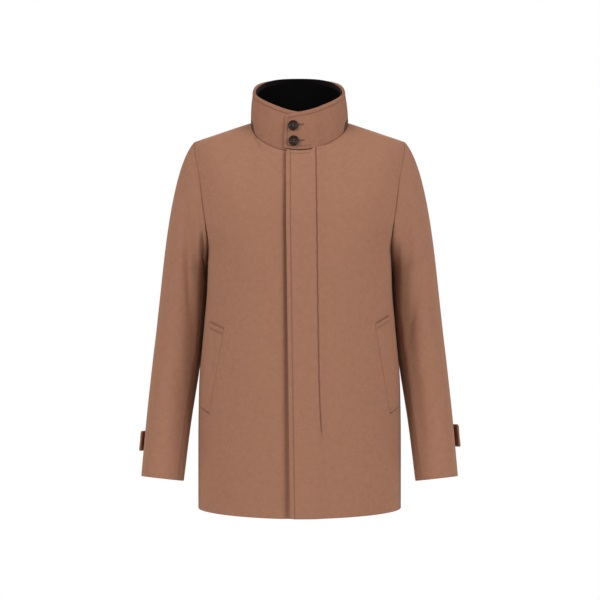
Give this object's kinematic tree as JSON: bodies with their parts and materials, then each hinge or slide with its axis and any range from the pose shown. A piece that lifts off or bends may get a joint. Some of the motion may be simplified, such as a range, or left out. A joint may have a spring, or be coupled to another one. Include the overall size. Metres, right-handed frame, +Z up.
{
  "type": "short coat",
  "caption": "Short wool coat shown filled out, with a tall stand collar lapped and buttoned at the front, a concealed placket, slanted welt pockets and set-in sleeves with cuff tabs.",
  "frame": {"origin": "between the neck points of the two shoulder seams, where the wearer's shoulders carry the coat", "axes": "+Z up, -Y to the front, +X to the wearer's left"},
  "size_m": [0.6405, 0.2961, 0.8699],
  "materials": {
    "wool": "camel-brown wool coating with a soft short nap",
    "pile": "black napped lining cloth",
    "felt": "dark brown felt",
    "horn": "dark horn-look, soft gloss"
  },
  "bodies": {
    "root": {"front_right": "wool", "front_left": "wool", "back": "wool", "sleeve_left_top": "wool", "sleeve_left_under": "wool", "sleeve_right_top": "wool", "sleeve_right_under": "wool", "collar": "wool", "collar_lining": "pile", "collar_stand_back": "felt", "pocket_welt_left": "wool", "pocket_welt_right": "wool", "cuff_tab_left": "wool", "cuff_tab_right": "wool", "collar_button_upper": "horn", "collar_button_lower": "horn", "cuff_button_left": "horn", "cuff_button_right": "horn"}
  },
  "joints": []
}
